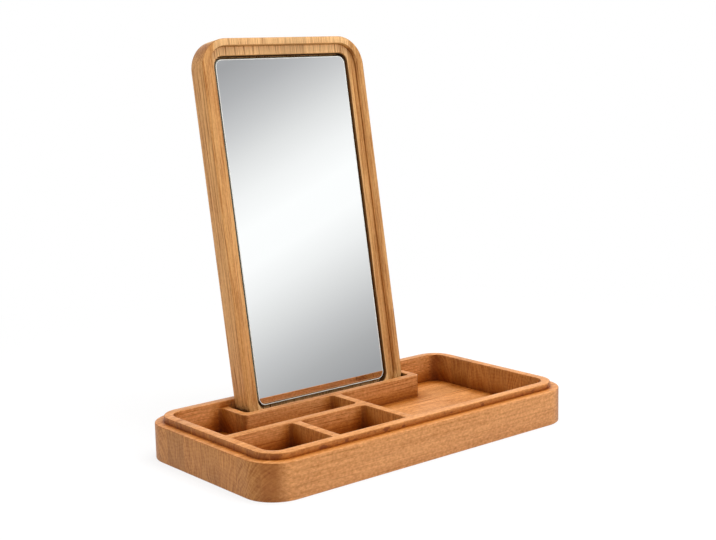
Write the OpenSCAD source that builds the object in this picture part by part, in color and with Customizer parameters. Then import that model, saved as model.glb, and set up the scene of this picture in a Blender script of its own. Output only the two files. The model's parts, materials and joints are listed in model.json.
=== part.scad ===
// Table mirror with a wooden storage box.
// The box and the mirror's frame are milled from panels that are glued up from
// straight staves. The mirror stands in a slot of the box and leans on its rim.
// Millimetres, +Z up, origin at the middle of the box's underside, front at -Y.

/* [Box] */
// Length of the box, left to right
box_l = 285; // [265:1:340]
// Width of the box, front to back
box_w = 150; // [140:1:180]
// Height of the box up to the ledge outside its rim
ledge_h = 26; // [20:0.5:40]
// Radius of the box's upright outer corners
corner_r = 24; // [20:0.5:30]
// Width of the ledge outside the rim
ledge_w = 6.5; // [4:0.25:8]
// Height of the rim above the ledge
rim_h = 4.5; // [3:0.25:7]
// Thickness of the rim
rim_t = 7; // [5:0.25:9]
// Thickness of the wood under the compartments
floor_t = 8.5; // [7:0.25:12]
// Width of the two outermost staves; the six between them share what is left
edge_stave_w = 12; // [8:0.5:18]
// Radius of the eased edges
edge_r = 0.8; // [0.3:0.05:1]

/* [Compartments] */
// Thickness of the partitions between the compartments
partition_t = 7; // [4:0.25:10]
// Middle of the long cross partition, from the box's middle to the right
divider_x = -1; // [-20:0.5:20]
// Middle of the partition behind the small compartments, from the box's middle to the back
tray_y = -1; // [-12:0.5:8]
// Radius of the milled corners inside the compartments
pocket_r = 4; // [3:0.25:10]

/* [Slot] */
// Clear width of the slot, front to back
slot_w = 23.6; // [20:0.1:28]
// Thickness of the slot's front and end walls
slot_wall_t = 6.2; // [4:0.1:9]
// Play between the frame and each end of the slot, where it stands in the middle
slot_play = 3.4; // [2:0.1:6]
// Radius of the slot's inside corners
slot_r = 3.5; // [2:0.25:4.5]
// Radius of the slot housing's outside corners
housing_r = 4.5; // [3:0.25:10]
// Thickness of the wood under the groove that holds the mirror's foot
groove_floor_t = 7; // [4:0.25:8]
// Height of the step in front of the groove, above the groove's floor
step_h = 5.5; // [4:0.25:8]

/* [Mirror frame] */
// Thickness of the frame
frame_t = 16; // [14:0.25:18]
// Radius of the frame's outer corners
frame_corner_r = 22.5; // [18:0.5:30]
// Play between the frame's ridge and the box's rim when the frame lies on the box as a lid
lid_play = 1; // [0.3:0.05:2]
// Height of the shadow line that stays open below the lid
shadow_gap = 1; // [0.5:0.05:2]
// Width of the sill between the ridge and the glass recess
sill_w = 7; // [5:0.25:10]
// Radius of the glass recess's corners
recess_r = 8; // [4:0.25:12]
// Backward lean of the standing mirror
lean = 9.4; // [6:0.1:12]
// Clearance between the standing frame and what it rests on
seat_gap = 0.2; // [0.05:0.05:0.5]
// Clearance between the frame's lower right and the slot's rounded back corner beside it
end_gap = 0.1; // [0.05:0.05:1]

/* [Glass] */
// Thickness of the mirror glass
glass_t = 3; // [2:0.1:4]
// Gap between the glass and the recess's wall at the sides and the top
glass_gap = 1.5; // [0.5:0.05:2.5]
// Gap between the glass and the recess's wall at the foot
foot_gap = 2.5; // [0.5:0.05:4]
// Depth of the glass below the sill
glass_set = 1.9; // [0.5:0.05:2.5]
// Width of the ground arris round the glass
arris = 1.2; // [0.5:0.1:1.5]
// Thickness of the mounting tape behind the glass
tape_t = 0.8; // [0.5:0.05:1.2]
// Width of a strip of mounting tape
tape_w = 20; // [10:1:30]
// Distance from the ends of the glass to the tape
tape_inset = 18; // [10:1:40]

/* [Hidden] */
$fn = 64;
over = 1;
far = 400;

rim_top = ledge_h + rim_h;
wall_in = ledge_w + rim_t;
inner_r = corner_r - wall_in;
inner_x = box_l / 2 - wall_in;
inner_y = box_w / 2 - wall_in;

// Faces of the partitions
divider_left = divider_x - partition_t / 2;
divider_right = divider_x + partition_t / 2;
tray_front = tray_y - partition_t / 2;
tray_back = tray_y + partition_t / 2;
small_w = (divider_left + inner_x - partition_t) / 2;
small_split = -inner_x + small_w;

// Faces of the slot and its housing
slot_x = box_w / 2 + slot_play;
slot_front = inner_y - slot_w;
housing_x = slot_x + slot_wall_t;
housing_front = slot_front - slot_wall_t;

// Ridge and recess, measured in from the frame's edge, and the glass, up from the frame's foot
ridge_w = ledge_w - lid_play;
ridge_h = rim_h - shadow_gap;
recess_in = ridge_w + sill_w;
glass_r = recess_r - glass_gap;
glass_x = box_w / 2 - recess_in - glass_gap;
glass_low = recess_in + foot_gap;
glass_high = box_l - recess_in - glass_gap;
recess_depth = ridge_h + glass_set + glass_t + tape_t;
recess_z = frame_t - recess_depth;
glass_z = recess_z + tape_t;

// Seat of the standing frame, as its lower back edge. Its back lies seat_gap off the
// rim's inner edge, its foot as much above the groove's floor and behind the step.
// An eased edge touches a little later than a sharp one would, by edge_back.
edge_back = edge_r * (cos(lean) + sin(lean) - 1);
foot_z = groove_floor_t + seat_gap - edge_back;
foot_y = inner_y - (seat_gap - edge_back) / cos(lean) - (rim_top - foot_z) * tan(lean);
step_y = foot_y - frame_t * cos(lean) - seat_gap + edge_back;

// The frame stands to the right in its play. At the height of the partitions its back is
// lean_gap off the slot's back wall, where the slot's rounded corner reaches in by corner_reach.
lean_gap = seat_gap + rim_h * tan(lean);
corner_reach = slot_r - sqrt(slot_r * slot_r - pow(slot_r - lean_gap, 2));
stand_x = slot_play - corner_reach - end_gap;

// Planes of the glue joints, and the outermost faces
stave_w = (box_w - 2 * edge_stave_w) / 6;
joints = [-far, -3 * stave_w, -2 * stave_w, -stave_w, 0, stave_w, 2 * stave_w, 3 * stave_w, far];

// Corner points of a rectangle, counterclockwise from the front left
function rectangle(x0, y0, x1, y1) = [[x0, y0], [x1, y0], [x1, y1], [x0, y1]];

// Corner points of the box's or frame's outline, moved in by inset
function outline(l, w, inset) =
    rectangle(-l / 2 + inset, -w / 2 + inset, l / 2 - inset, w / 2 - inset);
function alike(r) = [r, r, r, r];

function before(points, i) = points[(i + len(points) - 1) % len(points)];
function after(points, i) = points[(i + 1) % len(points)];
function unit(v) = v / norm(v);
function is_outward(points, i) =
    cross(points[i] - before(points, i), after(points, i) - points[i]) > 0;

// Puts what lies in the quarter between +X and +Y into corner i of a rectilinear outline:
// on its inside where the corner points outward, and on its outside where it points inward
module at_corner(points, i) {
    run = is_outward(points, i) ? after(points, i) - points[i] : before(points, i) - points[i];
    translate(points[i]) rotate(atan2(run[1], run[0])) children();
}

// What a round corner of radius r leaves of a square one
module corner_waste(r) {
    difference() {
        translate([-over, -over]) square(r + over);
        translate([r, r]) circle(r);
    }
}

// Flat shape of a rectilinear outline whose corners are rounded
module rounded(points, radii) {
    difference() {
        union() {
            polygon(points);
            for (i = [0 : len(points) - 1])
                if (!is_outward(points, i)) at_corner(points, i) corner_waste(radii[i]);
        }
        for (i = [0 : len(points) - 1])
            if (is_outward(points, i)) at_corner(points, i) corner_waste(radii[i]);
    }
}

// Runs a flat profile along a rounded outline. The profile's x is the distance from the
// outline to its inside, or to its outside if outside is true, and its y is the height.
module along(points, radii, outside = false) {
    for (i = [0 : len(points) - 1]) {
        next = (i + 1) % len(points);
        run = points[next] - points[i];
        translate(points[i] + unit(run) * radii[i]) rotate([90, 0, atan2(run[1], run[0]) + 90])
            mirror([outside ? 0 : 1, 0, 0])
                linear_extrude(norm(run) - radii[i] - radii[next]) children();
    }
    for (i = [0 : len(points) - 1])
        at_corner(points, i) translate([radii[i], radii[i], 0]) rotate(180)
            rotate_extrude(angle = 90) translate([radii[i], 0])
                mirror([outside == is_outward(points, i) ? 0 : 1, 0]) children();
}

// Profile of the wood that an eased top edge of radius r leaves off
module eased(r = edge_r) {
    difference() {
        translate([-over / 2, -r]) square([r + over / 2, r + over / 2]);
        translate([r, -r]) circle(r);
    }
}

// Outlines of the compartments: two small ones at the front left, a long one behind them,
// a large one on the right. The last two bend round the ends of the slot's housing.
small_left = rectangle(-inner_x, -inner_y, small_split, tray_front);
small_left_radii = [inner_r, pocket_r, pocket_r, pocket_r];
small_right = rectangle(small_split + partition_t, -inner_y, divider_left, tray_front);
small_right_radii = alike(pocket_r);
long_tray = [
    [-inner_x, tray_back], [divider_left, tray_back], [divider_left, housing_front],
    [-housing_x, housing_front], [-housing_x, inner_y], [-inner_x, inner_y]
];
long_tray_radii = [pocket_r, pocket_r, pocket_r, housing_r, pocket_r, inner_r];
large_tray = [
    [divider_right, -inner_y], [inner_x, -inner_y], [inner_x, inner_y],
    [housing_x, inner_y], [housing_x, housing_front], [divider_right, housing_front]
];
large_tray_radii = [pocket_r, inner_r, inner_r, pocket_r, housing_r, pocket_r];

// Outlines of the slot, and of the groove in its floor for the mirror's foot
slot = rectangle(-slot_x, slot_front, slot_x, inner_y);
groove = rectangle(-slot_x, step_y, slot_x, inner_y);
slot_radii = alike(slot_r);

// Every hollow that opens at the height of the partitions: outline, radii and floor
hollows = [
    [small_left, small_left_radii, floor_t],
    [small_right, small_right_radii, floor_t],
    [long_tray, long_tray_radii, floor_t],
    [large_tray, large_tray_radii, floor_t],
    [slot, slot_radii, groove_floor_t + step_h]
];

// The whole box before it is parted into its staves
module box_body() {
    base = outline(box_l, box_w, 0);
    rim = outline(box_l, box_w, ledge_w);
    rim_r = corner_r - ledge_w;
    difference() {
        union() {
            linear_extrude(ledge_h) rounded(base, alike(corner_r));
            linear_extrude(rim_top) rounded(rim, alike(rim_r));
        }
        translate([0, 0, ledge_h]) inside_rim(rim_h + over);
        for (h = hollows)
            translate([0, 0, h[2]]) linear_extrude(rim_top) rounded(h[0], h[1]);
        translate([0, 0, groove_floor_t]) linear_extrude(rim_top) rounded(groove, slot_radii);
        mirror([0, 0, 1]) along(base, alike(corner_r)) eased();
        translate([0, 0, ledge_h]) along(base, alike(corner_r)) eased();
        translate([0, 0, rim_top]) {
            along(rim, alike(rim_r)) eased();
            along(outline(box_l, box_w, wall_in), alike(inner_r), outside = true) eased();
        }
        intersection() {
            inside_rim(rim_top);
            translate([0, 0, ledge_h]) for (h = hollows) along(h[0], h[1], outside = true) eased();
        }
    }
}

// Space inside the rim's inner wall
module inside_rim(h) {
    linear_extrude(h) rounded(outline(box_l, box_w, wall_in), alike(inner_r));
}

// The whole frame, lying on its back with its foot at y = 0, before it is parted
module frame_body() {
    edge = outline(box_w, box_l, 0);
    ridge = outline(box_w, box_l, ridge_w);
    ridge_r = frame_corner_r - ridge_w;
    recess = outline(box_w, box_l, recess_in);
    sill_z = frame_t - ridge_h;
    translate([0, box_l / 2, 0]) difference() {
        linear_extrude(frame_t) rounded(edge, alike(frame_corner_r));
        translate([0, 0, sill_z]) linear_extrude(frame_t) rounded(ridge, alike(ridge_r));
        translate([0, 0, recess_z]) linear_extrude(frame_t) rounded(recess, alike(recess_r));
        mirror([0, 0, 1]) along(edge, alike(frame_corner_r)) eased();
        translate([0, 0, frame_t]) {
            along(edge, alike(frame_corner_r)) eased();
            along(ridge, alike(ridge_r), outside = true) eased();
        }
        translate([0, 0, sill_z]) along(recess, alike(recess_r), outside = true) eased();
    }
}

// Stands what lies on its back up in the slot
module stand() {
    translate([stand_x, foot_y, foot_z]) rotate([90 - lean, 0, 0]) children();
}

module box_stave(i) {
    intersection() {
        box_body();
        translate([-far, joints[i - 1], -over]) cube([2 * far, joints[i] - joints[i - 1], far]);
    }
}

module frame_stave(i) {
    stand() intersection() {
        frame_body();
        translate([joints[i - 1], -far, -over]) cube([joints[i] - joints[i - 1], 3 * far, far]);
    }
}

// Glass plate with a ground arris round its front
module glass_plate() {
    shape = rectangle(-glass_x, glass_low, glass_x, glass_high);
    translate([0, 0, glass_z]) difference() {
        linear_extrude(glass_t) rounded(shape, alike(glass_r));
        translate([0, 0, glass_t]) along(shape, alike(glass_r))
            polygon([[-over, over], [-over, -over], [0, -arris / 2], [arris, 0], [arris, over]]);
    }
}

module mirror_glass() {
    color("silver") stand() glass_plate();
}

module mounting_tape() {
    low = glass_low + tape_inset;
    strip_l = glass_high - tape_inset - low;
    reach = glass_x - tape_inset - tape_w / 2;
    color("white") stand()
        for (x = [-reach, 0, reach])
            translate([x - tape_w / 2, low, recess_z]) cube([tape_w, strip_l, tape_t]);
}

module box_stave_1() { color("#a9713f") box_stave(1); }
module box_stave_2() { color("#b57a48") box_stave(2); }
module box_stave_3() { color("#ad7443") box_stave(3); }
module box_stave_4() { color("#b87f4d") box_stave(4); }
module box_stave_5() { color("#b07745") box_stave(5); }
module box_stave_6() { color("#a97040") box_stave(6); }
module box_stave_7() { color("#b67c4b") box_stave(7); }
module box_stave_8() { color("#ae7544") box_stave(8); }
module frame_stave_1() { color("#b98050") frame_stave(1); }
module frame_stave_2() { color("#b27947") frame_stave(2); }
module frame_stave_3() { color("#bb834f") frame_stave(3); }
module frame_stave_4() { color("#b47b49") frame_stave(4); }
module frame_stave_5() { color("#b97f4c") frame_stave(5); }
module frame_stave_6() { color("#b17846") frame_stave(6); }
module frame_stave_7() { color("#ba824e") frame_stave(7); }
module frame_stave_8() { color("#b57c4a") frame_stave(8); }

box_stave_1();
box_stave_2();
box_stave_3();
box_stave_4();
box_stave_5();
box_stave_6();
box_stave_7();
box_stave_8();
frame_stave_1();
frame_stave_2();
frame_stave_3();
frame_stave_4();
frame_stave_5();
frame_stave_6();
frame_stave_7();
frame_stave_8();
mirror_glass();
mounting_tape();
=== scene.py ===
"""Looks of a table mirror that stands in the slot of its wooden storage box.

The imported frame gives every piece's place. The box and the mirror's frame are each modelled as one milled
panel and then parted at the glue joints, so that every stave is a piece of its own. Lengths are in metres,
+Z is up, the front is at -Y, and the origin is the middle of the box's underside.
"""

import json
import math
from functools import partial

import bmesh
import bpy
from mathutils import Euler, Matrix, Vector


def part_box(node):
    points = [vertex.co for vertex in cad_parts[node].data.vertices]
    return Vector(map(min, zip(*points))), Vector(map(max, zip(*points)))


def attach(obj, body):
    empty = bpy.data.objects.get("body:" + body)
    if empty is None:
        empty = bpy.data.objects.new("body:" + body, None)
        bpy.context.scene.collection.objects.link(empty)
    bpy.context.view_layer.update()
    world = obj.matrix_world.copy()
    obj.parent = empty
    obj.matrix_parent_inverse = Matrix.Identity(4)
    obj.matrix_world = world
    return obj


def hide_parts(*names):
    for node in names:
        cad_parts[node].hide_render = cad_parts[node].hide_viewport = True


bl_info = {
    "name": "Table mirror with storage box",
    "version": (1, 0, 0),
    "blender": (4, 5, 0),
    "location": "3D View > Sidebar > Mirror box",
    "description": "Models a table mirror in a wooden frame, its storage box and a plain studio",
    "category": "Object",
}

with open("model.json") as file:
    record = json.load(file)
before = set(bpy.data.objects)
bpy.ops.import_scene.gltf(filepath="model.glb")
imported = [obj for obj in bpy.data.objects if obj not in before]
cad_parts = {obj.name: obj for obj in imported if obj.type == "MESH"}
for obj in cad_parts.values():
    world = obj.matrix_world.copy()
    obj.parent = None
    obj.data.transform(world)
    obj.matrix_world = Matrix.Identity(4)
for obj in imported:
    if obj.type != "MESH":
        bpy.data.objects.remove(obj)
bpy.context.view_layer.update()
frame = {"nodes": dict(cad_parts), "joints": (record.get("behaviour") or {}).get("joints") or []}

MM = 0.001
STAVES = 8
# Points nearer than this are the same, and faces nearer than this lie in one plane
SAME, NEAR = 0.01 * MM, 0.05 * MM
# How far a cutter stands outside the wall it runs flush with, and how far it rises over the wood
HAIR, CUTTER_RISE = 0.02 * MM, 5 * MM
# A face looks straight in a direction from this share of its normal on
FLAT = 0.99
# Steps in the quarter turn of a corner
LARGE_STEPS, RECESS_STEPS, HOUSING_STEPS, SMALL_STEPS = 20, 14, 10, 8

# The box's outline and the staves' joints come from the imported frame
box_low = Vector(map(min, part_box("box_stave_1")[0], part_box("box_stave_4")[0]))
box_high = Vector(map(max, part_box("box_stave_8")[1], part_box("box_stave_4")[1]))
BOX_LENGTH = box_high.x - box_low.x
BOX_WIDTH = box_high.y - box_low.y
STAVE_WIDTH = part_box("box_stave_4")[1].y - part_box("box_stave_4")[0].y
RIM_TOP = box_high.z

# The frame stands with its lean about the lower back edge of its foot
lift = next(j for j in frame["joints"] if j["name"] == "mirror_lift")
UP = Vector(lift["axis"]).normalized()
LEAN = math.atan2(UP.y, UP.z)
STAND_X = (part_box("frame_stave_4")[1].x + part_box("frame_stave_5")[0].x) / 2


def linear(hex_colour):
    """Turns an sRGB hex colour into the linear values that shaders take, with full opacity."""
    channels = [int(hex_colour[i:i + 2], 16) / 255 for i in (1, 3, 5)]
    return [c / 12.92 if c <= 0.04045 else ((c + 0.055) / 1.055) ** 2.4 for c in channels] + [1]


def mm_property(name, description, default):
    """A length that a user would change, in metres, with its default given in millimetres."""
    return bpy.props.FloatProperty(
        name=name, description=description, default=default * MM, min=0.0, unit="LENGTH", precision=5
    )


def colour_property(name, description, default):
    """A colour that a user would change, with its default as an sRGB hex value."""
    return bpy.props.FloatVectorProperty(
        name=name, description=description, default=linear(default)[:3], min=0.0, max=1.0, subtype="COLOR"
    )


class MIRRORBOX_PG_box(bpy.types.PropertyGroup):
    """Sizes of the storage box."""

    corner_radius: mm_property("Corner radius", "Radius of the upright outer corners", 24)
    ledge_height: mm_property("Ledge height", "Height of the ledge and of the partitions", 26)
    ledge_width: mm_property("Ledge width", "Width of the ledge outside the rim", 6.5)
    rim_thickness: mm_property("Rim thickness", "Thickness of the rim", 7)
    floor: mm_property("Floor", "Thickness of the wood under the compartments", 8.5)
    partition: mm_property("Partition", "Thickness of the partitions", 7)
    partition_shift: mm_property("Partition shift", "How far partitions lie left of and before the middle", 1)
    pocket_radius: mm_property("Pocket radius", "Radius of the milled corners inside the compartments", 4)
    housing_radius: mm_property("Housing radius", "Radius of the slot housing's outside corners", 4.5)
    slot_width: mm_property("Slot width", "Clear width of the slot, front to back", 23.6)
    slot_wall: mm_property("Slot wall", "Thickness of the slot's front and end walls", 6.2)
    slot_play: mm_property("Slot play", "Half of the frame's sideways play in the slot", 3.4)
    slot_radius: mm_property("Slot radius", "Radius of the slot's inside corners", 3.5)
    slot_floor: mm_property("Slot floor", "Height of the step in the slot's floor", 12.5)
    groove_floor: mm_property("Groove floor", "Thickness of the wood under the foot's groove", 7)
    step_back: mm_property("Step back", "Place of the step's face, from the middle to the back", 41.67)
    eased_radius: mm_property("Eased radius", "Radius of the eased edges", 0.8)


class MIRRORBOX_PG_mirror(bpy.types.PropertyGroup):
    """Sizes of the mirror and its frame."""

    thickness: mm_property("Thickness", "Thickness of the frame", 16)
    corner_radius: mm_property("Corner radius", "Radius of the frame's outer corners", 22.5)
    ridge_width: mm_property("Ridge width", "Width of the ridge round the frame's edge", 5.5)
    ridge_height: mm_property("Ridge height", "Height of the ridge above the sill", 3.5)
    sill_width: mm_property("Sill width", "Width of the sill between ridge and glass recess", 7)
    recess_radius: mm_property("Recess radius", "Radius of the glass recess's corners", 8)
    recess_depth: mm_property("Recess depth", "Depth of the glass recess below the ridge", 9.2)
    glass_gap: mm_property("Glass gap", "Gap between the glass and the recess at the sides and the top", 1.5)
    foot_gap: mm_property("Foot gap", "Gap between the glass and the recess's wall at the foot", 2.5)
    glass_thickness: mm_property("Glass thickness", "Thickness of the mirror glass", 3)
    tape_thickness: mm_property("Tape thickness", "Thickness of the tape behind the glass", 0.8)
    arris: mm_property("Arris", "Width of the ground arris round the glass", 0.7)
    # The pale line is a painted highlight
    edge_line: mm_property("Edge line", "Width of the pale line inside the arris", 0.6)


class MIRRORBOX_PG_finish(bpy.types.PropertyGroup):
    """Colours of the wood, the glass and the studio."""

    box_light: colour_property("Box, light wood", "Oiled oak between its growth rings", "#E2A063")
    box_dark: colour_property("Box, dark wood", "Oiled oak in its porous early wood", "#B36E30")
    frame_light: colour_property("Frame, light wood", "Oiled oak between its growth rings", "#E5AE6D")
    frame_dark: colour_property("Frame, dark wood", "Oiled oak in its porous early wood", "#B37536")
    middle_stave_pale: colour_property("Pale wood", "Paler wood of the frame's middle staves", "#F7C98F")
    # Also the colour of the painted shade on the rim's outer side
    pore: colour_property("Pores", "Open pores that hold the oil", "#8E4B0F")
    end_grain: colour_property("End grain tint", "What oil-soaked end grain keeps of the colour", "#D4CDAE")
    # Darker than the end grain tint, as painted shade on the rounded corners
    slant_grain_and_shade: colour_property("Slanting grain tint", "What rounded corners keep of the colour", "#BFAB84")
    # Painted shade of the recess's and the slot's walls, in a light and a dark tone
    recess_shade_light: colour_property("Scorched oak, light", "Milled walls where the bit ran fast", "#94622F")
    recess_shade_dark: colour_property("Scorched oak, dark", "Milled walls where the bit lingered", "#4A2E12")
    silver: colour_property("Silvering", "Reflection of the silvered glass", "#F4F6F6")
    floor: colour_property("Floor", "Studio floor", "#DCDCDC")


def settings():
    """The three groups of sizes and colours of the scene."""
    scene = bpy.context.scene
    return scene.mirrorbox_box, scene.mirrorbox_mirror, scene.mirrorbox_finish


# Helpers for modelling


def deselect_all():
    """Leaves nothing selected, so that an operator acts only on what is picked next."""
    for item in list(bpy.context.selected_objects):
        item.select_set(False)


def pick(item):
    """Makes one object the only selected and the active one."""
    deselect_all()
    item.select_set(True)
    bpy.context.view_layer.objects.active = item


def add_block(name, low, high):
    """A block between two corners, added as a cube at its place and size."""
    deselect_all()
    low, high = Vector(low), Vector(high)
    bpy.ops.mesh.primitive_cube_add(size=1, location=(low + high) / 2, scale=high - low)
    block = bpy.context.active_object
    block.name = block.data.name = name
    bpy.ops.object.transform_apply(location=True, rotation=True, scale=True)
    return block


def select_where(mode, test):
    """In edit mode, selects the vertices, edges or faces for which test is true, and counts them."""
    bpy.ops.mesh.select_mode(type=mode)
    bpy.ops.mesh.select_all(action="DESELECT")
    mesh = bmesh.from_edit_mesh(bpy.context.active_object.data)
    items = {"VERT": mesh.verts, "EDGE": mesh.edges, "FACE": mesh.faces}[mode]
    found = 0
    for item in items:
        chosen = bool(test(item))
        item.select = chosen
        found += chosen
    mesh.select_flush_mode()
    bmesh.update_edit_mesh(bpy.context.active_object.data)
    return found


def is_upright_at(edge, x, y):
    """True for an upright edge that stands at x, y."""
    return all(abs(v.co.x - x) < NEAR and abs(v.co.y - y) < NEAR for v in edge.verts)


def round_corners(item, corners):
    """Rounds a block's upright edges. corners holds the x, y, radius and steps of each."""
    pick(item)
    bpy.ops.object.mode_set(mode="EDIT")
    for x, y, radius, steps in corners:
        if not select_where("EDGE", lambda e: is_upright_at(e, x, y)):
            raise RuntimeError(f"{item.name} has no upright edge at {x:.4f}, {y:.4f}")
        bpy.ops.mesh.bevel(offset=radius, segments=steps, profile=0.5, clamp_overlap=False)
    bpy.ops.object.mode_set(mode="OBJECT")


def select_top(z):
    """In edit mode, selects the faces that lie flat at height z and look up."""
    select_where("FACE", lambda f: f.normal.z > FLAT and abs(f.calc_center_median().z - z) < SAME)


def extrude_selected(move):
    """Extrudes the selected faces and moves them."""
    bpy.ops.mesh.extrude_region_move(TRANSFORM_OT_translate={"value": move})


def is_sharp_and_outward(edge):
    """True for an edge between two faces that meet in an outward corner of more than 35 degrees."""
    return edge.is_manifold and edge.is_convex and edge.calc_face_angle(0) > math.radians(35)


def ease_edges(item, radius, test):
    """Rounds the outward edges for which test is true in three steps, as sanding by hand does."""
    pick(item)
    bpy.ops.object.mode_set(mode="EDIT")
    bpy.ops.mesh.select_all(action="SELECT")
    bpy.ops.mesh.normals_make_consistent(inside=False)
    select_where("EDGE", lambda e: is_sharp_and_outward(e) and test(e))
    bpy.ops.mesh.bevel(offset=radius, segments=3, profile=0.5, clamp_overlap=False)
    bpy.ops.object.mode_set(mode="OBJECT")


def cut_away(item, cutter):
    """Takes the cutter's shape out of a piece and removes the cutter."""
    pick(item)
    cut = item.modifiers.new("cut", "BOOLEAN")
    cut.operation = "DIFFERENCE"
    cut.solver = "EXACT"
    cut.object = cutter
    bpy.ops.object.modifier_apply(modifier=cut.name)
    bpy.data.objects.remove(cutter, do_unlink=True)


def finish_faces(piece, materials, choose):
    """Gives a piece its materials, and each face the one whose number choose gives for it."""
    for material in materials:
        piece.data.materials.append(material)
    for face in piece.data.polygons:
        face.material_index = int(choose(face))


def part_panel(panel, nodes, axis, middle):
    """Parts a panel at its glue joints into closed staves. Gives each stave with its node's name first."""
    half = STAVES // 2
    joints = [None] + [middle + i * STAVE_WIDTH for i in range(1 - half, half)] + [None]
    pairs = []
    for i, (low, high) in enumerate(zip(joints[:-1], joints[1:])):
        node = f"{nodes}_{i + 1}"
        pick(panel)
        bpy.ops.object.duplicate()
        stave = bpy.context.active_object
        stave.name = stave.data.name = f"{node}_milled"
        bpy.ops.object.mode_set(mode="EDIT")
        for place, side in ((low, -1), (high, 1)):
            if place is None:
                continue
            bpy.ops.mesh.select_all(action="SELECT")
            normal = [side * float(a == axis) for a in range(3)]
            point = [place * float(a == axis) for a in range(3)]
            bpy.ops.mesh.bisect(plane_co=point, plane_no=normal, use_fill=True, clear_outer=True)
        bpy.ops.object.mode_set(mode="OBJECT")
        bpy.ops.object.shade_smooth_by_angle(angle=math.radians(28))
        pairs.append((node, stave))
    bpy.data.objects.remove(panel, do_unlink=True)
    return pairs


def enter_piece(piece, body, node):
    """Says which body a piece rides on, and hides the node that it stands for."""
    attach(piece, body)
    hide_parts(node)


# Helpers for materials

# Kinds of node and settings that many materials share
MATH, VECTOR, MAP_RANGE = "ShaderNodeMath", "ShaderNodeVectorMath", "ShaderNodeMapRange"
NOISE, RAMP, MIX, COORDS = "ShaderNodeTexNoise", "ShaderNodeValToRGB", "ShaderNodeMix", "ShaderNodeTexCoord"
PRINCIPLED, OUTPUT = "ShaderNodeBsdfPrincipled", "ShaderNodeOutputMaterial"
MULTIPLY, SCALE_AND_ADD, DOT = ({"operation": name} for name in ("MULTIPLY", "MULTIPLY_ADD", "DOT_PRODUCT"))
SMOOTH, COLOUR = {"interpolation_type": "SMOOTHSTEP"}, {"data_type": "RGBA"}


def add_node(tree, kind, settings=None, inputs=None):
    """Adds a node, sets what it does, and sets or links its inputs.

    A socket is given as a link, and a node stands for its first output.
    """
    node = tree.nodes.new(kind)
    for key, value in (settings or {}).items():
        setattr(node, key, value)
    for key, value in (inputs or {}).items():
        if isinstance(value, bpy.types.Node):
            value = value.outputs[0]
        if isinstance(value, bpy.types.NodeSocket):
            tree.links.new(value, node.inputs[key])
        else:
            node.inputs[key].default_value = value
    return node


def new_material(name):
    """An empty node material, and add_node for its tree."""
    material = bpy.data.materials.new(name)
    material.use_nodes = True
    material.node_tree.nodes.clear()
    return material, partial(add_node, material.node_tree)


def rgba(colour):
    """One of the finish's colours with full opacity, as a node takes it."""
    return list(colour) + [1]


def set_ramp(ramp_node, stops):
    """Sets a colour ramp's stops, given as a place and a hex value or a linear colour."""
    ramp = ramp_node.color_ramp
    while len(ramp.elements) > 1:
        ramp.elements.remove(ramp.elements[-1])
    for i, (place, colour) in enumerate(stops):
        element = ramp.elements.new(place) if i else ramp.elements[0]
        element.position = place
        element.color = linear(colour) if isinstance(colour, str) else colour


# Patterns in the oak: cells per metre along the grain, across the staves and through the panel, and detail
OAK_PATTERNS = {
    # The rings wander over 110 mm along the grain and over 20 mm across it
    "wander": ((9.0, 50.0, 50.0), 2.0),
    # Stretches 80 mm long and 14 mm wide are calm or strongly ringed
    "calm": ((12.0, 70.0, 70.0), 1.0),
    # Lines of pores. Real ones are 0.3 mm wide, and are drawn 0.5 mm wide so that they show
    "pores": ((35.0, 1900.0, 1900.0), 1.5),
    # Streaks of tone, 140 mm long and 2.4 mm wide
    "streak": ((7.0, 420.0, 420.0), 2.0),
    # The mottle of cut rays, 2.4 mm long and 1.7 mm wide
    "mottle": ((420.0, 600.0, 600.0), 2.5),
    # Patches of painted shade on the rim's outer side, 9 mm long and 4 mm high
    "rim_side_shade": ((110.0, 40.0, 250.0), 2.0),
}
# How far each stave's grain is moved at most, in metres, so that no two staves match
STAVE_SHIFT = (3.0, 0.04, 0.03)
RING_WIDTH = 2.6 * MM
RING_WANDER = 9 * MM
# The way from the pith to the panel. It is long, so that the rings cross the panel as flat arcs
PITH_TO_PANEL = (0.0, -0.02, 0.055)
# End grain's rays: cells per radian round the pith, per metre away from it and per stave
RAY_CELLS = (75.0, 60.0, 1.0)
# Height of the painted shade on the rim's outer side and half its range, and how far from the middle it
# begins
RIM_SHADE_HEIGHT, RIM_SHADE_RANGE, RIM_SHADE_OUT = 28 * MM, 1.6 * MM, 67 * MM

# seed picks each stave's share of the patterns, figure is how strongly the lines of pores show, inner_lines
# is how much more so in the middle staves, streaky is how strong the streaks of tone are, reach is how
# far out of an inside corner the painted shade reaches, and pale is how much paler the middle staves are than
# the others
BOX_OAK = {"seed": 17.0, "figure": 0.4, "inner_lines": 2.4, "streaky": 0.8, "reach": 14 * MM, "pale": 0.0}
FRAME_OAK = {"seed": 5.0, "figure": 1.3, "inner_lines": 1.0, "streaky": 2.2, "reach": 0.7 * MM, "pale": 0.6}


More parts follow.
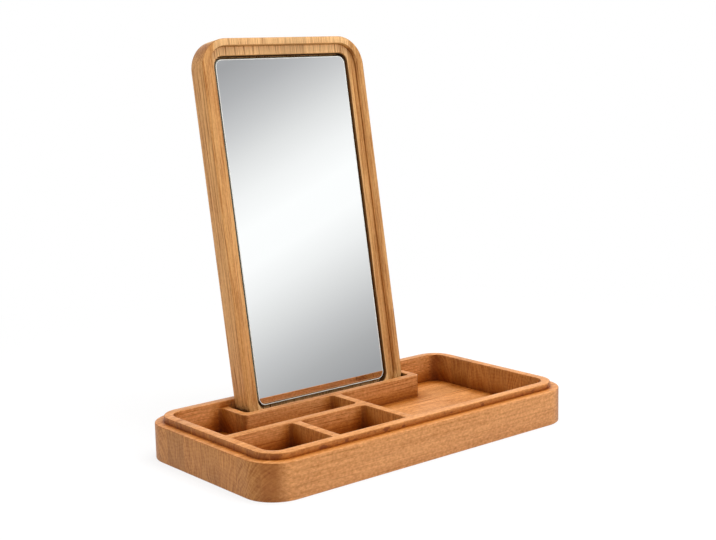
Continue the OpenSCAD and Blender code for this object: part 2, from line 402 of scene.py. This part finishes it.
def oiled_oak(name, turn, origin, light, dark, seed, figure, inner_lines, streaky, reach, pale):
    """Oak, planed, sanded and oiled. Every stave is its own piece of a board.

    The pattern is solid: rings round a pith beside the panel, so end grain shows arcs and long faces show
    drawn-out lines, which wander where the ring wanders. turn and origin bring Object coordinates into the
    panel: X along the grain, Y across the staves, Z through the thickness.
    """
    finish = settings()[2]
    material, node = new_material(name)
    matrix = turn.to_matrix()
    coords = node(COORDS)
    panel = node(
        "ShaderNodeMapping", {"vector_type": "POINT"},
        {"Vector": coords.outputs["Object"], "Rotation": turn, "Location": -(matrix @ origin)},
    )
    split = node("ShaderNodeSeparateXYZ", inputs={0: panel})

    # A number for each stave moves its grain and shifts its tone
    number = node(MATH, {"operation": "DIVIDE"}, {0: split.outputs["Y"], 1: STAVE_WIDTH})
    number = node(MATH, {"operation": "FLOOR"}, {0: number})
    number = node(MATH, {"operation": "ADD"}, {0: number, 1: seed})
    chance = node("ShaderNodeTexWhiteNoise", {"noise_dimensions": "1D"}, {"W": number})
    moved = node(VECTOR, SCALE_AND_ADD, {0: chance.outputs["Color"], 1: STAVE_SHIFT, 2: panel})
    pattern = {}
    for kind, (cells, detail) in OAK_PATTERNS.items():
        place = node(VECTOR, MULTIPLY, {0: moved, 1: cells})
        pattern[kind] = node(NOISE, inputs={"Vector": place, "Scale": 1.0, "Detail": detail})

    # Growth rings: the early wood is porous and dark, the late wood is dense and light
    wandered = node(
        VECTOR, SCALE_AND_ADD,
        {0: pattern["wander"].outputs["Color"], 1: (0.0, RING_WANDER, RING_WANDER), 2: moved},
    )
    from_pith = node(VECTOR, SCALE_AND_ADD, {0: wandered, 1: (0.0, 1.0, 1.0), 2: PITH_TO_PANEL})
    radius = node(VECTOR, {"operation": "LENGTH"}, {0: from_pith}).outputs["Value"]
    ring = node(MATH, {"operation": "DIVIDE"}, {0: radius, 1: RING_WIDTH})
    ring = node(MATH, {"operation": "FRACT"}, {0: ring})
    early = node(RAMP, inputs={0: ring})
    set_ramp(early, [(0.0, "#FFFFFF"), (0.3, "#B0B0B0"), (0.7, "#404040"), (0.97, "#A0A0A0")])
    calm = node(MAP_RANGE, inputs={"Value": pattern["calm"], "From Min": 0.35, "From Max": 0.65})
    ringed = node(MATH, MULTIPLY, {0: early, 1: calm})

    # The six middle staves are apart from the two outermost ones
    outward = node(MATH, {"operation": "ABSOLUTE"}, {0: split.outputs["Y"]})
    middle = node(MATH, {"operation": "LESS_THAN"}, {0: outward, 1: (STAVES / 2 - 1) * STAVE_WIDTH})

    # 1 where the surface is cut straight across the grain, and 0 where the grain runs along it
    facing = node(VECTOR, DOT, {0: coords.outputs["Normal"], 1: matrix.inverted() @ Vector((1, 0, 0))})
    facing = node(MATH, {"operation": "ABSOLUTE"}, {0: facing.outputs["Value"]})
    end = node(MAP_RANGE, SMOOTH, {"Value": facing, "From Min": 0.3, "From Max": 0.9})

    # End grain also shows its rays: fine hatching that runs out from the pith, a millimetre apart
    across = node("ShaderNodeSeparateXYZ", inputs={0: from_pith})
    angle = node(MATH, {"operation": "ARCTAN2"}, {0: across.outputs["Z"], 1: across.outputs["Y"]})
    rays = node("ShaderNodeCombineXYZ", inputs={"X": angle, "Y": radius, "Z": number})
    rays = node(VECTOR, MULTIPLY, {0: rays, 1: RAY_CELLS})
    rays = node(NOISE, inputs={"Vector": rays, "Scale": 1.0, "Detail": 1.0})
    hatch = node(MATH, {"operation": "SUBTRACT"}, {0: rays, 1: 0.5})
    hatch = node(MATH, MULTIPLY, {0: hatch, 1: end})

    # Pores lie most in early wood. On end grain they are dots, which show less
    pore = node(MAP_RANGE, SMOOTH, {"Value": pattern["pores"], "From Min": 0.46, "From Max": 0.67})
    for value, factor, rest in (
        (early, 0.6 * figure, 0.3 * figure), (end, -0.7, 1.0), (middle, inner_lines - 1, 1.0)
    ):
        share = node(MATH, SCALE_AND_ADD, {0: value, 1: factor, 2: rest})
        pore = node(MATH, MULTIPLY, {0: pore, 1: share})

    # Dark patches of painted shade lie on the rim's outer side above the ledge, in the outermost staves
    rim_side_shade = node(
        MAP_RANGE, inputs={"Value": pattern["rim_side_shade"], "From Min": 0.57, "From Max": 0.64, "To Max": 0.8}
    )
    low = node(MATH, {"operation": "COMPARE"}, {0: split.outputs["Z"], 1: RIM_SHADE_HEIGHT, 2: RIM_SHADE_RANGE})
    outer = node(MATH, {"operation": "GREATER_THAN"}, {0: outward, 1: RIM_SHADE_OUT})
    for share in (low, outer):
        rim_side_shade = node(MATH, MULTIPLY, {0: rim_side_shade, 1: share})

    # Tone between the light and the dark wood: the mottle, calmer on end grain, streaks, rings and rays
    blotchy = 2.2 - 0.6 * streaky
    blots = node(MATH, SCALE_AND_ADD, {0: pattern["mottle"], 1: blotchy, 2: -blotchy / 2})
    calmed = node(MATH, SCALE_AND_ADD, {0: end, 1: -0.55, 2: 1.0})
    tone = node(MATH, SCALE_AND_ADD, {0: blots, 1: calmed, 2: 0.3 - streaky / 2})
    for value, strength in ((pattern["streak"], streaky), (ringed, 0.35), (hatch, 2.4)):
        tone = node(MATH, SCALE_AND_ADD, {0: value, 1: strength, 2: tone})
    tone = node("ShaderNodeClamp", inputs={"Value": tone})
    paler = node(MATH, MULTIPLY, {0: middle, 1: pale})
    wood = rgba(light)
    for share, colour in ((tone, dark), (paler, finish.middle_stave_pale), (pore, finish.pore), (rim_side_shade, finish.pore)):
        wood = node(MIX, COLOUR, {0: share, 6: wood, 7: rgba(colour)}).outputs[2]

    # End grain drinks more oil than long faces and is darker. A rounded corner's slanting cut is darker
    # still, which is painted shade
    oil_and_slant_shade = node(RAMP, inputs={0: facing})
    slant_tint_and_shade = rgba(finish.slant_grain_and_shade)
    set_ramp(oil_and_slant_shade, [(0.25, "#FFFFFF"), (0.6, slant_tint_and_shade), (0.8, slant_tint_and_shade), (0.98, rgba(finish.end_grain))])
    # Painted shade: inside corners and narrow gaps are darkened by how little open space lies round them
    open_share = node("ShaderNodeAmbientOcclusion", {"samples": 12, "only_local": True}, {"Distance": reach})
    painted_corner_shade = node(RAMP, inputs={0: open_share.outputs["AO"]})
    set_ramp(painted_corner_shade, [
        (0.0, "#5A3C10"), (0.25, "#946A2C"), (0.5, "#BC964E"), (0.65, "#CBAA66"), (0.78, "#E0CE9C"),
        (0.88, "#F0E8D6"), (1.0, "#FFFFFF"),
    ])
    shade = node(MAP_RANGE, inputs={"Value": chance, "To Min": 0.9, "To Max": 1.07})
    for tint in (oil_and_slant_shade, shade, painted_corner_shade):
        wood = node(VECTOR, MULTIPLY, {0: wood, 1: tint})

    # Pores and early wood lie a little lower than the sanded late wood, and are duller
    height = node(MATH, SCALE_AND_ADD, {0: early, 1: 0.35, 2: pore})
    bump = node(
        "ShaderNodeBump", {"invert": True}, {"Height": height, "Strength": 0.12, "Distance": 0.15 * MM}
    )
    gloss = node(MAP_RANGE, inputs={"Value": height, "To Min": 0.45, "To Max": 0.62})
    shader = node(PRINCIPLED, inputs={
        "Base Color": wood, "Roughness": gloss, "IOR": 1.45, "Specular IOR Level": 0.4, "Normal": bump,
    })
    node(OUTPUT, inputs={"Surface": shader})
    return material


def painted_shade_oak():
    """Milled oak of the recess's and the slot's walls, painted a dark brown as the shade in these narrow
    gaps, and matt. Box and frame share the one material.
    """
    if "painted_shade_oak" in bpy.data.materials:
        return bpy.data.materials["painted_shade_oak"]
    finish = settings()[2]
    material, node = new_material("painted_shade_oak")
    coords = node(COORDS)
    # The painted shade comes in patches 6 mm wide, and is deepest on the walls that look up or down
    patch = node(NOISE, inputs={"Vector": coords.outputs["Object"], "Scale": 180.0, "Detail": 2.0})
    level = node(VECTOR, DOT, {0: coords.outputs["Normal"], 1: (0, 0, 1)})
    level = node(MATH, {"operation": "ABSOLUTE"}, {0: level.outputs["Value"]})
    share = node(
        MATH, {"operation": "MULTIPLY_ADD", "use_clamp": True}, {0: patch, 1: 0.6, 2: level}
    )
    tint = node(MIX, COLOUR, {0: share, 6: rgba(finish.recess_shade_light), 7: rgba(finish.recess_shade_dark)})
    shader = node(PRINCIPLED, inputs={"Base Color": tint.outputs[2], "Roughness": 0.7, "IOR": 1.45})
    node(OUTPUT, inputs={"Surface": shader})
    return material


def silvered_glass():
    """Float glass, silvered and lacquered behind. It reflects almost all light without colour."""
    material, node = new_material("silvered_mirror_glass")
    coords = node(COORDS)
    # Faint uneven polish in patches of 25 mm, too slight to bend what the mirror shows
    haze = node(NOISE, inputs={"Vector": coords.outputs["Object"], "Scale": 40.0, "Detail": 2.0})
    polish = node(MAP_RANGE, inputs={"Value": haze, "To Min": 0.0, "To Max": 0.012})
    shader = node(PRINCIPLED, inputs={
        "Base Color": rgba(settings()[2].silver), "Metallic": 1.0, "Roughness": polish,
    })
    node(OUTPUT, inputs={"Surface": shader})
    return material


def arris_with_painted_reflection():
    """The glass's ground arris, a mirror whose dull grey colour is a painted reflection of the dark gap
    beside it.
    """
    material, node = new_material("ground_glass_arris_painted_dark")
    coords = node(COORDS)
    # The grinding wheel's grit, 0.4 mm wide so that it shows
    grit = node(NOISE, inputs={"Vector": coords.outputs["Object"], "Scale": 2500.0, "Detail": 1.0})
    rough = node(MAP_RANGE, inputs={"Value": grit, "To Min": 0.06, "To Max": 0.2})
    shader = node(PRINCIPLED, inputs={"Base Color": linear("#7E7A6C"), "Metallic": 1.0, "Roughness": rough})
    node(OUTPUT, inputs={"Surface": shader})
    return material


def painted_edge_highlight():
    """The line where the arris meets the mirror, painted pale as a highlight of light leaving the glass
    there.
    """
    material, node = new_material("glass_edge_painted_highlight")
    coords = node(COORDS)
    # Small nicks a millimetre apart
    nick = node(NOISE, inputs={"Vector": coords.outputs["Object"], "Scale": 900.0, "Detail": 1.0})
    tint = node(MIX, COLOUR, {0: nick, 6: linear("#F6F3EA"), 7: linear("#E6EAE4")})
    shader = node(PRINCIPLED, inputs={"Base Color": tint.outputs[2], "Roughness": 0.25, "IOR": 1.52})
    node(OUTPUT, inputs={"Surface": shader})
    return material


def foam_tape():
    """White acrylic foam tape, matt and finely grained, with cells of 0.25 mm."""
    material, node = new_material("acrylic_foam_tape")
    coords = node(COORDS)
    cells = node("ShaderNodeTexVoronoi", inputs={"Vector": coords.outputs["Object"], "Scale": 4000.0})
    tint = node(RAMP, inputs={0: cells})
    set_ramp(tint, [(0.0, "#D9D8D2"), (1.0, "#EFEEEA")])
    shader = node(PRINCIPLED, inputs={"Base Color": tint, "Roughness": 0.8})
    node(OUTPUT, inputs={"Surface": shader})
    return material


# Helpers for the box, the frame and the glass


def slot_limits():
    """How far the slot reaches to each side of the box's middle, and where its front wall stands."""
    box = settings()[0]
    frame_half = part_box("frame_stave_8")[1].x - STAND_X
    inner_y = BOX_WIDTH / 2 - box.ledge_width - box.rim_thickness
    return frame_half + box.slot_play, inner_y - box.slot_width


def hollow_cutters():
    """Cutters for the compartments, the slot and the groove for the mirror's foot.

    A cutter's faces that run flush with the rim's inner wall stand a hair outside it. The hair is closed
    again when the cut panel's doubles are merged.
    """
    box = settings()[0]
    wall = box.ledge_width + box.rim_thickness
    inner_x, inner_y = BOX_LENGTH / 2 - wall, BOX_WIDTH / 2 - wall
    wall_x, wall_y = inner_x + HAIR, inner_y + HAIR
    top = RIM_TOP + CUTTER_RISE
    half = box.partition / 2
    divider_left, divider_right = -box.partition_shift - half, -box.partition_shift + half
    tray_front, tray_back = divider_left, divider_right
    split = (divider_left - inner_x - box.partition) / 2
    slot_x, slot_front = slot_limits()
    housing_x, housing_front = slot_x + box.slot_wall, slot_front - box.slot_wall

    def straight(name, x0, y0, x1, y1, floor, corners):
        """A hollow with four corners, given from the front left one round to the back left one."""
        block = add_block(name, (x0, y0, floor), (x1, y1, top))
        places = (x0, y0), (x1, y0), (x1, y1), (x0, y1)
        round_corners(block, [place + corner for place, corner in zip(places, corners)])
        return block

    def bent(name, side, near, front, corners):
        """A compartment that runs along the housing and bends round its end, drawn for the right side."""
        block = add_block(name, (near, front, box.floor), (housing_x, housing_front, top))
        bpy.ops.object.mode_set(mode="EDIT")
        select_where("FACE", lambda f: f.normal.x > FLAT)
        extrude_selected((wall_x - housing_x, 0, 0))
        select_where("FACE", lambda f: f.normal.y > FLAT and f.calc_center_median().x > housing_x)
        extrude_selected((0, wall_y - housing_front, 0))
        bpy.ops.mesh.select_all(action="SELECT")
        bpy.ops.mesh.dissolve_limited(angle_limit=math.radians(1))
        bpy.ops.object.mode_set(mode="OBJECT")
        places = (
            (near, front), (wall_x, front), (wall_x, wall_y),
            (housing_x, wall_y), (housing_x, housing_front), (near, housing_front),
        )
        round_corners(block, [place + corner for place, corner in zip(places, corners)])
        if side < 0:
            pick(block)
            bpy.ops.transform.mirror(constraint_axis=(True, False, False))
            bpy.ops.object.transform_apply(location=True, rotation=True, scale=True)
            bpy.ops.object.mode_set(mode="EDIT")
            bpy.ops.mesh.select_all(action="SELECT")
            bpy.ops.mesh.normals_make_consistent(inside=False)
            bpy.ops.object.mode_set(mode="OBJECT")
        return block

    rim = (box.corner_radius - wall + HAIR, LARGE_STEPS)
    pocket, slot = (box.pocket_radius, SMALL_STEPS), (box.slot_radius, SMALL_STEPS)
    housing = (box.housing_radius, HOUSING_STEPS)
    return [
        straight("small_left", -wall_x, -wall_y, split, tray_front, box.floor, [rim] + [pocket] * 3),
        straight(
            "small_right", split + box.partition, -wall_y, divider_left, tray_front, box.floor, [pocket] * 4
        ),
        bent("long_tray", -1, -divider_left, tray_back, [pocket, pocket, rim, pocket, housing, pocket]),
        bent("large_tray", 1, divider_right, -wall_y, [pocket, rim, rim, pocket, housing, pocket]),
        straight("slot", -slot_x, slot_front, slot_x, wall_y, box.slot_floor, [slot] * 4),
        straight("groove", -slot_x, box.step_back, slot_x, wall_y, box.groove_floor, [slot] * 4),
    ]


def glass_corners():
    """The glass's low and high corner in the frame as it lies on its back, foot at Y = 0."""
    mirror = settings()[1]
    inset = mirror.ridge_width + mirror.sill_width
    half = BOX_WIDTH / 2 - inset - mirror.glass_gap
    back = mirror.thickness - mirror.recess_depth + mirror.tape_thickness
    low = Vector((-half, inset + mirror.foot_gap, back))
    high = Vector((half, BOX_LENGTH - inset - mirror.glass_gap, back + mirror.glass_thickness))
    return low, high


def standing_matrix():
    """Place and turn of the standing frame, from the glass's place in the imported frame."""
    low, high = glass_corners()
    packed_low, packed_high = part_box("mirror_glass")
    turn = Matrix.Rotation(math.radians(90) - LEAN, 4, "X")
    # The glass's back upper edge lies furthest back, and its back lower edge lies lowest
    back = packed_high.y - (turn @ Vector((0, high.y, low.z))).y
    down = packed_low.z - (turn @ low).z
    return Matrix.Translation((STAND_X, back, down)) @ turn


def stand_up(item):
    """Turns what lies on its back, foot at Y = 0, into its leaning place in the slot."""
    pick(item)
    item.matrix_world = standing_matrix() @ item.matrix_world
    bpy.ops.object.transform_apply(location=True, rotation=True, scale=True)


# Operators, one for each piece or group of like pieces


class MIRRORBOX_OT_box(bpy.types.Operator):
    """Models the storage box and parts it into its eight staves"""

    bl_idname = "mirrorbox.box"
    bl_label = "Storage box"

    def execute(self, context):
        box, _, finish = settings()
        half_x, half_y = BOX_LENGTH / 2, BOX_WIDTH / 2
        corner = (box.corner_radius, LARGE_STEPS)
        panel = add_block("box_panel", (-half_x, -half_y, 0), (half_x, half_y, box.ledge_height))
        round_corners(panel, [(x, y) + corner for x in (-half_x, half_x) for y in (-half_y, half_y)])

        # The rim rises inside the ledge, and the space inside it starts at the partitions' height
        pick(panel)
        bpy.ops.object.mode_set(mode="EDIT")
        select_top(box.ledge_height)
        bpy.ops.mesh.inset(thickness=box.ledge_width)
        extrude_selected((0, 0, RIM_TOP - box.ledge_height))
        bpy.ops.mesh.inset(thickness=box.rim_thickness)
        extrude_selected((0, 0, box.ledge_height - RIM_TOP))
        bpy.ops.object.mode_set(mode="OBJECT")

        for cutter in hollow_cutters():
            cut_away(panel, cutter)
        pick(panel)
        bpy.ops.object.mode_set(mode="EDIT")
        bpy.ops.mesh.select_all(action="SELECT")
        bpy.ops.mesh.remove_doubles(threshold=0.3 * MM)
        bpy.ops.mesh.dissolve_degenerate(threshold=SAME)
        bpy.ops.object.mode_set(mode="OBJECT")

        inner_x, inner_y = (half - box.ledge_width - box.rim_thickness for half in (half_x, half_y))

        def lies_at(edge, *heights):
            return any(all(abs(v.co.z - z) < NEAR for v in edge.verts) for z in heights)

        def stands_free(edge):
            """True on the partitions and beyond the rim's inner wall, and false along that wall."""
            middle = (edge.verts[0].co + edge.verts[1].co) / 2
            beyond = max(abs(middle.x) - inner_x, abs(middle.y) - inner_y)
            return beyond < -NEAR or beyond > 1 * MM

        ease_edges(
            panel, box.eased_radius,
            lambda e: lies_at(e, 0, RIM_TOP) or (lies_at(e, box.ledge_height) and stands_free(e)),
        )
        slot_x, slot_front = slot_limits()

        def in_slot(face):
            """True for the slot's floor, ends and front wall, and false for the rim behind it."""
            x, y, z = face.center
            under_edge = z < box.ledge_height - box.eased_radius
            return abs(x) < slot_x + NEAR and slot_front - NEAR < y < inner_y - 1 * MM and under_edge

        wood = oiled_oak("oiled_oak_box", Euler(), Vector(), finish.box_light, finish.box_dark, **BOX_OAK)
        # The slot's floor, ends and front wall get the painted shade of the narrow slot
        finish_faces(panel, (wood, painted_shade_oak()), in_slot)
        for node, stave in part_panel(panel, "box_stave", 1, 0):
            enter_piece(stave, "box", node)
        return {"FINISHED"}


class MIRRORBOX_OT_frame(bpy.types.Operator):
    """Models the mirror's frame and parts it into its eight staves"""

    bl_idname = "mirrorbox.frame"
    bl_label = "Mirror frame"

    def execute(self, context):
        box, mirror, finish = settings()
        half = BOX_WIDTH / 2
        corner = (mirror.corner_radius, LARGE_STEPS)
        panel = add_block("frame_panel", (-half, 0, 0), (half, BOX_LENGTH, mirror.thickness))
        round_corners(panel, [(x, y) + corner for x in (-half, half) for y in (0, BOX_LENGTH)])
        pick(panel)
        bpy.ops.object.mode_set(mode="EDIT")
        select_top(mirror.thickness)
        bpy.ops.mesh.inset(thickness=mirror.ridge_width)
        extrude_selected((0, 0, -mirror.ridge_height))
        bpy.ops.object.mode_set(mode="OBJECT")

        # The recess's corners are tighter than the ridge's, so a cutter takes the recess out
        inset = mirror.ridge_width + mirror.sill_width
        half_x, low, high = half - inset, inset, BOX_LENGTH - inset
        floor, top = mirror.thickness - mirror.recess_depth, mirror.thickness + CUTTER_RISE
        recess = add_block("recess", (-half_x, low, floor), (half_x, high, top))
        corner = (mirror.recess_radius, RECESS_STEPS)
        round_corners(recess, [(x, y) + corner for x in (-half_x, half_x) for y in (low, high)])
        cut_away(panel, recess)
        ease_edges(panel, box.eased_radius, lambda e: abs(e.verts[0].co.z - e.verts[1].co.z) < SAME)

        def in_recess(face):
            """True for the recess's upright walls, which get the painted shade."""
            x, y, z = face.center
            inside = abs(x) < half_x + NEAR and low - NEAR < y < high + NEAR
            return inside and z > floor + NEAR and abs(face.normal.z) < 0.1

        turn = Euler((LEAN - math.radians(90), 0, -math.radians(90)))
        place = standing_matrix().translation
        wood = oiled_oak(
            "oiled_oak_frame", turn, place, finish.frame_light, finish.frame_dark, **FRAME_OAK
        )
        # The recess's walls get the painted shade of the narrow gap round the glass
        finish_faces(panel, (wood, painted_shade_oak()), in_recess)
        stand_up(panel)
        for node, stave in part_panel(panel, "frame_stave", 0, STAND_X):
            enter_piece(stave, "mirror", node)
        return {"FINISHED"}


class MIRRORBOX_OT_glass(bpy.types.Operator):
    """Models the mirror glass with its ground arris, and finishes the tape behind it"""

    bl_idname = "mirrorbox.glass"
    bl_label = "Mirror glass"

    def execute(self, context):
        mirror = settings()[1]
        low, high = glass_corners()
        front = high.z
        glass = add_block("mirror_glass_silvered", low, high)
        corner = (mirror.recess_radius - mirror.glass_gap, RECESS_STEPS)
        round_corners(glass, [(x, y) + corner for x in (low.x, high.x) for y in (low.y, high.y)])
        pick(glass)
        bpy.ops.object.mode_set(mode="EDIT")
        select_top(front)
        bpy.ops.mesh.inset(thickness=mirror.arris)
        # The outline's front edge drops by half the arris's width, which leaves the arris sloping
        select_where(
            "VERT",
            lambda v: abs(v.co.z - front) < SAME
            and any(abs(e.other_vert(v).co.z - low.z) < SAME for e in v.link_edges),
        )
        bpy.ops.transform.translate(value=(0, 0, -mirror.arris / 2))
        select_where("FACE", lambda f: f.normal.z > FLAT)
        bpy.ops.mesh.inset(thickness=mirror.edge_line)
        bpy.ops.object.mode_set(mode="OBJECT")
        widest = max(face.area for face in glass.data.polygons if face.normal.z > FLAT)

        def finish_of(face):
            """0 for the mirror and its back, 1 for the sides and the dark arris, 2 for the painted highlight
            inside it.
            """
            if face.normal.z > FLAT:
                return 0 if face.area == widest else 2
            return face.normal.z > -0.1

        finish_faces(glass, (silvered_glass(), arris_with_painted_reflection(), painted_edge_highlight()), finish_of)
        bpy.ops.object.shade_smooth_by_angle(angle=math.radians(12))
        stand_up(glass)
        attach(glass, "mirror")
        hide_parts("mirror_glass")
        tape = frame["nodes"]["mounting_tape"]
        tape.data.materials.clear()
        tape.data.materials.append(foam_tape())
        return {"FINISHED"}


# Name, place in metres, width in metres and power in watts of each square softbox
SOFTBOXES = (
    ("key_softbox", (0.6, -1.1, 0.75), 1.0, 7.5),
    ("top_softbox", (0.15, -0.05, 1.3), 1.0, 16.0),
    ("side_softbox", (-1.1, -0.1, 0.15), 0.38, 3.5),
)
# The photograph's camera, fitted to the edges of box and mirror: place in millimetres, how far it looks
# down, to the right and how far it is turned, in degrees, and its lens and sensor width in millimetres
CAMERA_PLACE = (-602.17, -719.76, 286.02)
CAMERA_TURN = (9.778, 39.768, -1.21)
CAMERA_LENS, CAMERA_SENSOR = 66.54, 36
WHITE = (1, 1, 1, 1)


class MIRRORBOX_OT_stage(bpy.types.Operator):
    """Sets up the floor, the soft studio light and the camera"""

    bl_idname = "mirrorbox.stage"
    bl_label = "Studio"

    def execute(self, context):
        self.add_camera()
        self.add_floor()
        self.add_world()
        for softbox in SOFTBOXES:
            self.add_lamp(*softbox)
        bpy.context.scene.view_settings.view_transform = "Standard"
        return {"FINISHED"}

    def add_camera(self):
        """The camera at the photograph's viewing angle, from the front left."""
        pitch, yaw, roll = (math.radians(angle) for angle in CAMERA_TURN)
        ahead = Vector((math.sin(yaw) * math.cos(pitch), math.cos(yaw) * math.cos(pitch), -math.sin(pitch)))
        level = Vector((math.cos(yaw), -math.sin(yaw), 0))
        upward = level.cross(ahead)
        right = level * math.cos(roll) + upward * math.sin(roll)
        top = upward * math.cos(roll) - level * math.sin(roll)
        lens = bpy.data.cameras.new("camera")
        lens.sensor_width = CAMERA_SENSOR
        lens.lens = CAMERA_LENS
        lens.clip_start = 10 * MM
        camera = bpy.data.objects.new("camera", lens)
        turn = Matrix((right, top, -ahead)).transposed().to_4x4()
        camera.matrix_world = Matrix.Translation(Vector(CAMERA_PLACE) * MM) @ turn
        bpy.context.scene.collection.objects.link(camera)
        bpy.context.scene.camera = camera

    def add_floor(self):
        """A plain pale floor, white to camera and mirror apart from the object's soft shadow near it."""
        deselect_all()
        bpy.ops.mesh.primitive_plane_add(size=6, location=(0, 0, 0))
        floor = bpy.context.active_object
        floor.name = "studio_floor"
        material, node = new_material("matt_studio_floor")
        # 1 for rays that show the studio to the camera, straight or in glass and metal, or else 0
        path = node("ShaderNodeLightPath")
        seen = path.outputs["Is Camera Ray"]
        for kind in ("Is Glossy Ray", "Is Transmission Ray"):
            seen = node(MATH, {"operation": "MAXIMUM"}, {0: seen, 1: path.outputs[kind]})
        # Seen floor is 0.8 white of its own near the object, and white all over from 0.6 m away
        coords = node(COORDS)
        away = node(VECTOR, {"operation": "LENGTH"}, {0: coords.outputs["Object"]}).outputs["Value"]
        share = node(MAP_RANGE, SMOOTH, {"Value": away, "From Min": 0.2, "From Max": 0.6, "To Min": 0.8})
        shaded = node("ShaderNodeBsdfDiffuse", inputs={"Color": WHITE})
        white = node("ShaderNodeEmission", inputs={"Color": WHITE, "Strength": 1.0})
        pale = node("ShaderNodeMixShader", inputs={0: share, 1: shaded, 2: white})
        matt = node("ShaderNodeBsdfDiffuse", inputs={"Color": rgba(settings()[2].floor)})
        mixed = node("ShaderNodeMixShader", inputs={0: seen, 1: matt, 2: pale})
        node(OUTPUT, inputs={"Surface": mixed})
        floor.data.materials.append(material)

    def add_world(self):
        """White to the camera, soft light to the object, and to the mirror a white studio with a grey end."""
        world = bpy.data.worlds.new("studio")
        bpy.context.scene.world = world
        world.use_nodes = True
        world.node_tree.nodes.clear()
        node = partial(add_node, world.node_tree)
        path = node("ShaderNodeLightPath")
        ray = node(COORDS).outputs["Generated"]

        # Values that change smoothly with how much a ray goes in a direction, from one share of it to
        # another. The studio is dim on the front left, where the photographer stands
        dim = (-0.64, -0.77, 0)
        values = []
        for direction, low, high, at_low, at_high in (
            (dim, 0.55, 0.97, 0.35, 0.05), (dim, 0.5, 0.9, 1.08, 0.66), ((0, -1, 0), 0.0, 0.25, 0.0, 1.0)
        ):
            along = node(VECTOR, DOT, {0: ray, 1: direction}).outputs["Value"]
            values.append(node(MAP_RANGE, SMOOTH, {
                "Value": along, "From Min": low, "From Max": high, "To Min": at_low, "To Max": at_high,
            }))
        soft_strength, shine_strength, band_share = values

        # The mirror shows a band of light that rises to the right
        band = node(VECTOR, DOT, {0: ray, 1: (-0.45, 0.0, 1.0)}).outputs["Value"]
        place = node(MAP_RANGE, inputs={"Value": band, "From Min": -0.274, "From Max": 0.226})
        glow = node(RAMP, inputs={0: place})
        set_ramp(glow, [
            (0, "#9F9FA1"), (0.049, "#B1B1B2"), (0.098, "#C7C7C8"), (0.147, "#DEDEDE"), (0.196, "#F1F1F1"),
            (0.245, "#FEFEFE"), (0.299, "#FFFFFF"), (0.348, "#F5F5F5"), (0.397, "#E4E4E4"),
            (0.446, "#CDCDCE"), (0.495, "#B6B6B8"), (0.544, "#A4A4A6"), (0.7, "#CCCCCE"), (1.0, "#ECECEE"),
        ])
        front = node(MIX, COLOUR, {0: band_share, 6: WHITE, 7: glow}).outputs[2]
        soft = node("ShaderNodeBackground", inputs={"Color": WHITE, "Strength": soft_strength})
        shine = node("ShaderNodeBackground", inputs={"Color": front, "Strength": shine_strength})
        white = node("ShaderNodeBackground", inputs={"Color": WHITE, "Strength": 1.0})
        mixed = soft
        for kind, seen in (("Glossy", shine), ("Camera", white), ("Transmission", white)):
            chosen = path.outputs[f"Is {kind} Ray"]
            mixed = node("ShaderNodeMixShader", inputs={0: chosen, 1: mixed, 2: seen})
        node("ShaderNodeOutputWorld", inputs={"Surface": mixed})

    def add_lamp(self, name, place, size, power):
        """A square softbox that looks at the middle of the object."""
        lamp = bpy.data.lights.new(name, "AREA")
        lamp.shape = "SQUARE"
        lamp.size = size
        lamp.energy = power
        item = bpy.data.objects.new(name, lamp)
        item.location = place
        towards = Vector((0, 0, 50 * MM)) - Vector(place)
        item.rotation_euler = towards.to_track_quat("-Z", "Y").to_euler()
        item.visible_glossy = False
        bpy.context.scene.collection.objects.link(item)


class MIRRORBOX_PT_panel(bpy.types.Panel):
    """Lists the sizes, the colours and the steps of the scene"""

    bl_idname = "MIRRORBOX_PT_panel"
    bl_label = "Mirror box"
    bl_space_type = "VIEW_3D"
    bl_region_type = "UI"
    bl_category = "Mirror box"

    def draw(self, context):
        for group in settings():
            column = self.layout.column(align=True)
            for name in group.__annotations__:
                column.prop(group, name)
        for operator in OPERATORS:
            self.layout.operator(operator.bl_idname)


GROUPS = {
    "mirrorbox_box": MIRRORBOX_PG_box,
    "mirrorbox_mirror": MIRRORBOX_PG_mirror,
    "mirrorbox_finish": MIRRORBOX_PG_finish,
}
OPERATORS = (MIRRORBOX_OT_box, MIRRORBOX_OT_frame, MIRRORBOX_OT_glass, MIRRORBOX_OT_stage)


def register():
    """Registers the settings, the operators and the panel."""
    for name, group in GROUPS.items():
        bpy.utils.register_class(group)
        setattr(bpy.types.Scene, name, bpy.props.PointerProperty(type=group))
    for item in OPERATORS + (MIRRORBOX_PT_panel,):
        bpy.utils.register_class(item)


def unregister():
    """Takes the panel, the operators and the settings out again."""
    for item in (MIRRORBOX_PT_panel,) + OPERATORS[::-1]:
        bpy.utils.unregister_class(item)
    for name, group in GROUPS.items():
        delattr(bpy.types.Scene, name)
        bpy.utils.unregister_class(group)


def main():
    """Makes the whole scene."""
    register()
    bpy.ops.mirrorbox.box()
    bpy.ops.mirrorbox.frame()
    bpy.ops.mirrorbox.glass()
    bpy.ops.mirrorbox.stage()


if __name__ == "__main__":
    main()
